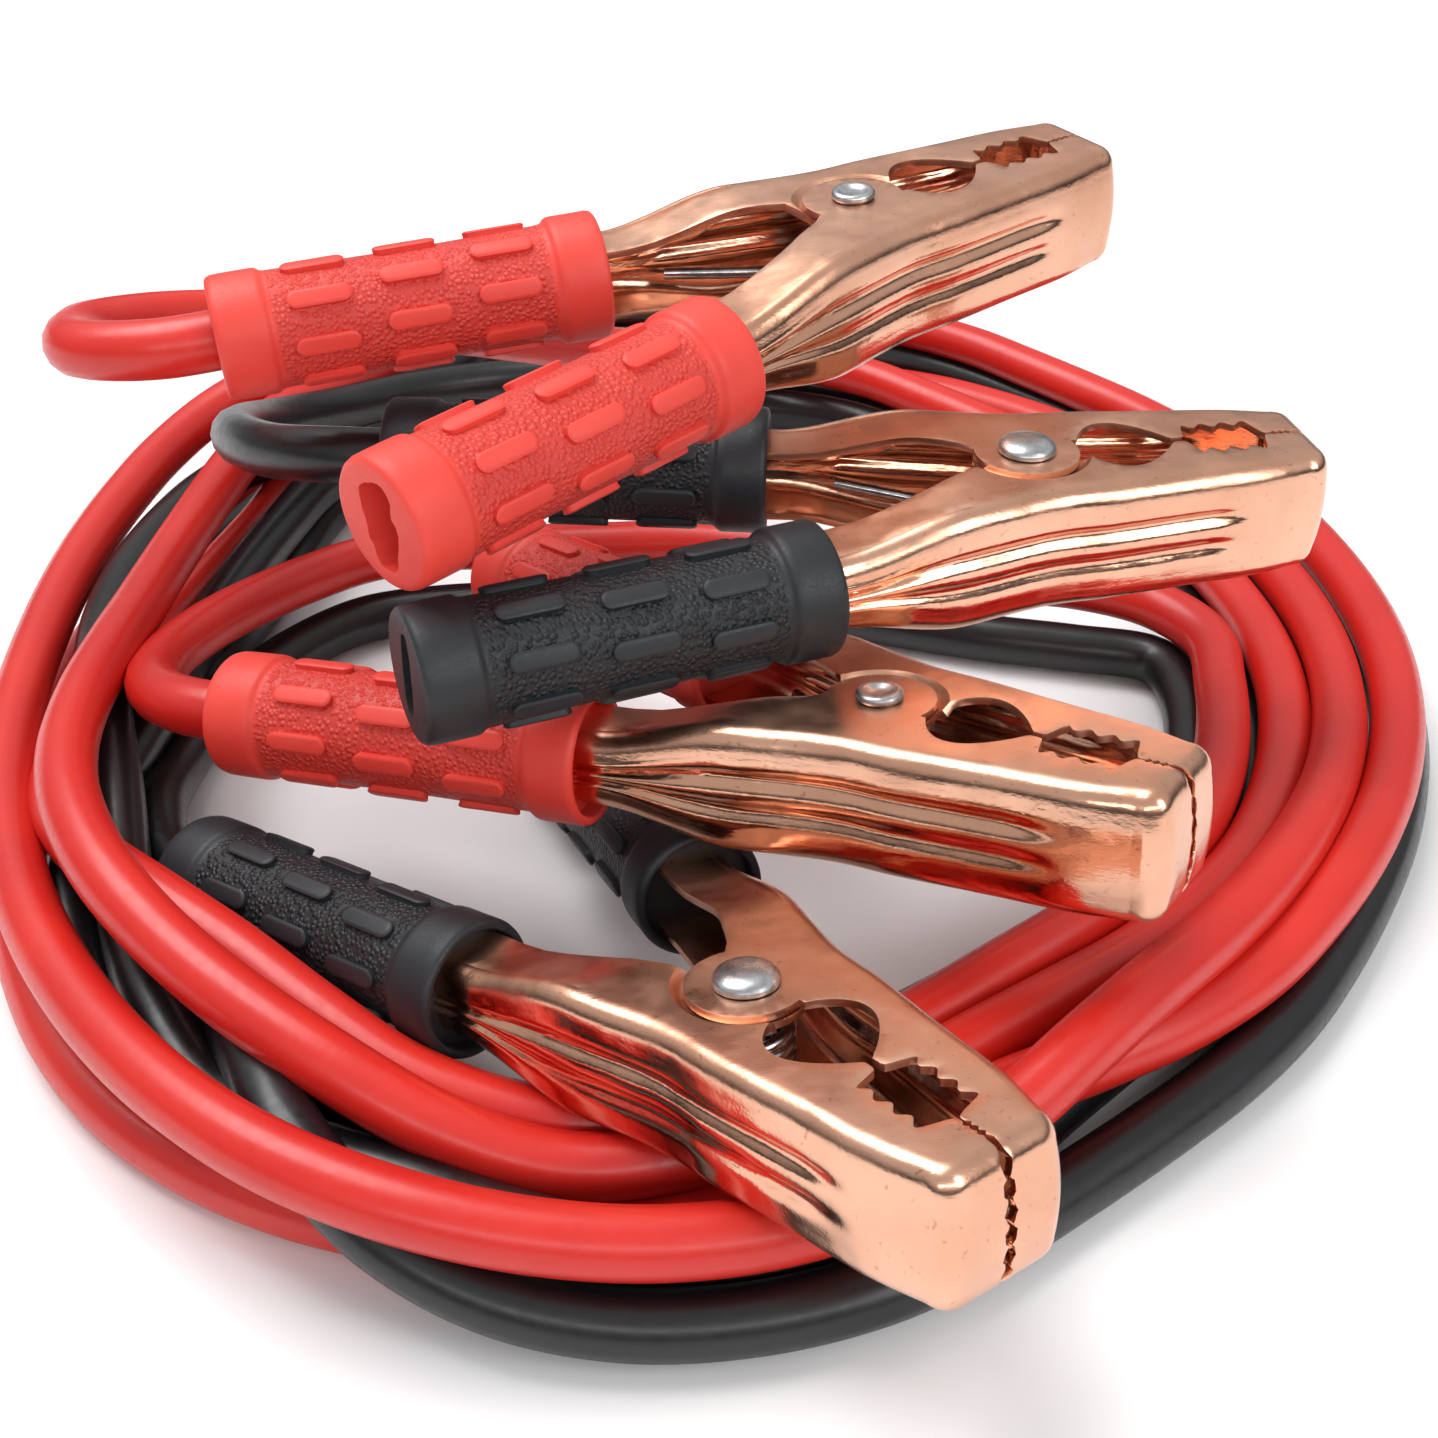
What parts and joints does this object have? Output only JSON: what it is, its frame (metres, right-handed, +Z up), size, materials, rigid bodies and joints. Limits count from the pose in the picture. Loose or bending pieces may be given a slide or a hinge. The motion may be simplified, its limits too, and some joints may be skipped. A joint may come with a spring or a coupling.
{
  "type": "jumper cable set",
  "caption": "Car jumper cable: copper-plated spring clamps with red and black rubber grips on a coiled red and black twin lead.",
  "frame": {"origin": "on the floor under the middle of the box round the four clamps, without the cable", "axes": "+X to the right along the picture's picture plane, +Y away from the camera, +Z up"},
  "size_m": [0.273, 0.3388, 0.1109],
  "materials": {
    "copper_plate": "bright copper plating on stamped steel sheet",
    "rivet_steel": "zinc-plated rivet with a formed head",
    "spring_steel": "nickel-plated spring wire",
    "red_rubber": "moulded soft vinyl, pebbled with raised ribs",
    "black_rubber": "moulded soft vinyl, pebbled with raised ribs",
    "red_jacket": "smooth satin cable jacket",
    "black_jacket": "smooth satin cable jacket"
  },
  "bodies": {
    "root": {"upper_red_cable_jaw": "copper_plate", "upper_red_cable_grip": "red_rubber", "upper_red_rivet": "rivet_steel", "upper_red_spring": "spring_steel", "upper_red_lead": "red_jacket", "upper_black_cable_jaw": "copper_plate", "upper_black_cable_grip": "black_rubber", "upper_black_rivet": "rivet_steel", "upper_black_spring": "spring_steel", "upper_black_lead": "black_jacket", "lower_red_cable_jaw": "copper_plate", "lower_red_cable_grip": "red_rubber", "lower_red_rivet": "rivet_steel", "lower_red_spring": "spring_steel", "lower_red_lead": "red_jacket", "lower_black_cable_jaw": "copper_plate", "lower_black_cable_grip": "black_rubber", "lower_black_rivet": "rivet_steel", "lower_black_spring": "spring_steel", "lower_black_lead": "black_jacket", "cable_coil": "red_jacket"},
    "upper_red_free_half": {"upper_red_free_jaw": "copper_plate", "upper_red_free_grip": "red_rubber"},
    "upper_black_free_half": {"upper_black_free_jaw": "copper_plate", "upper_black_free_grip": "black_rubber"},
    "lower_red_free_half": {"lower_red_free_jaw": "copper_plate", "lower_red_free_grip": "red_rubber"},
    "lower_black_free_half": {"lower_black_free_jaw": "copper_plate", "lower_black_free_grip": "black_rubber"}
  },
  "joints": [
    {"name": "upper_red_squeeze", "type": "hinge", "parent": "root", "child": "upper_red_free_half", "pos_m": [0.01893, 0.06807, 0.09641], "axis": [0.0551, 0.058, -0.9968], "range_deg": [0, 20], "stiffness_Nm_per_rad": 3, "springref_deg": -1.15, "deforming": ["upper_red_spring"]},
    {"name": "upper_black_squeeze", "type": "hinge", "parent": "root", "child": "upper_black_free_half", "pos_m": [0.04573, 0.03367, 0.06581], "axis": [-0.0069, -0.0012, -1], "range_deg": [0, 20], "stiffness_Nm_per_rad": 3, "springref_deg": -1.15, "deforming": ["upper_black_spring"]},
    {"name": "lower_red_squeeze", "type": "hinge", "parent": "root", "child": "lower_red_free_half", "pos_m": [0.02033, -0.00983, 0.04521], "axis": [-0.0428, 0.1405, 0.9892], "range_deg": [0, 20], "stiffness_Nm_per_rad": 3, "springref_deg": -1.15, "deforming": ["lower_red_spring"]},
    {"name": "lower_black_squeeze", "type": "hinge", "parent": "root", "child": "lower_black_free_half", "pos_m": [0.00003, -0.05593, 0.02941], "axis": [-0.0601, 0.1685, 0.9839], "range_deg": [0, 20], "stiffness_Nm_per_rad": 3, "springref_deg": -1.15, "deforming": ["lower_black_spring"]}
  ]
}
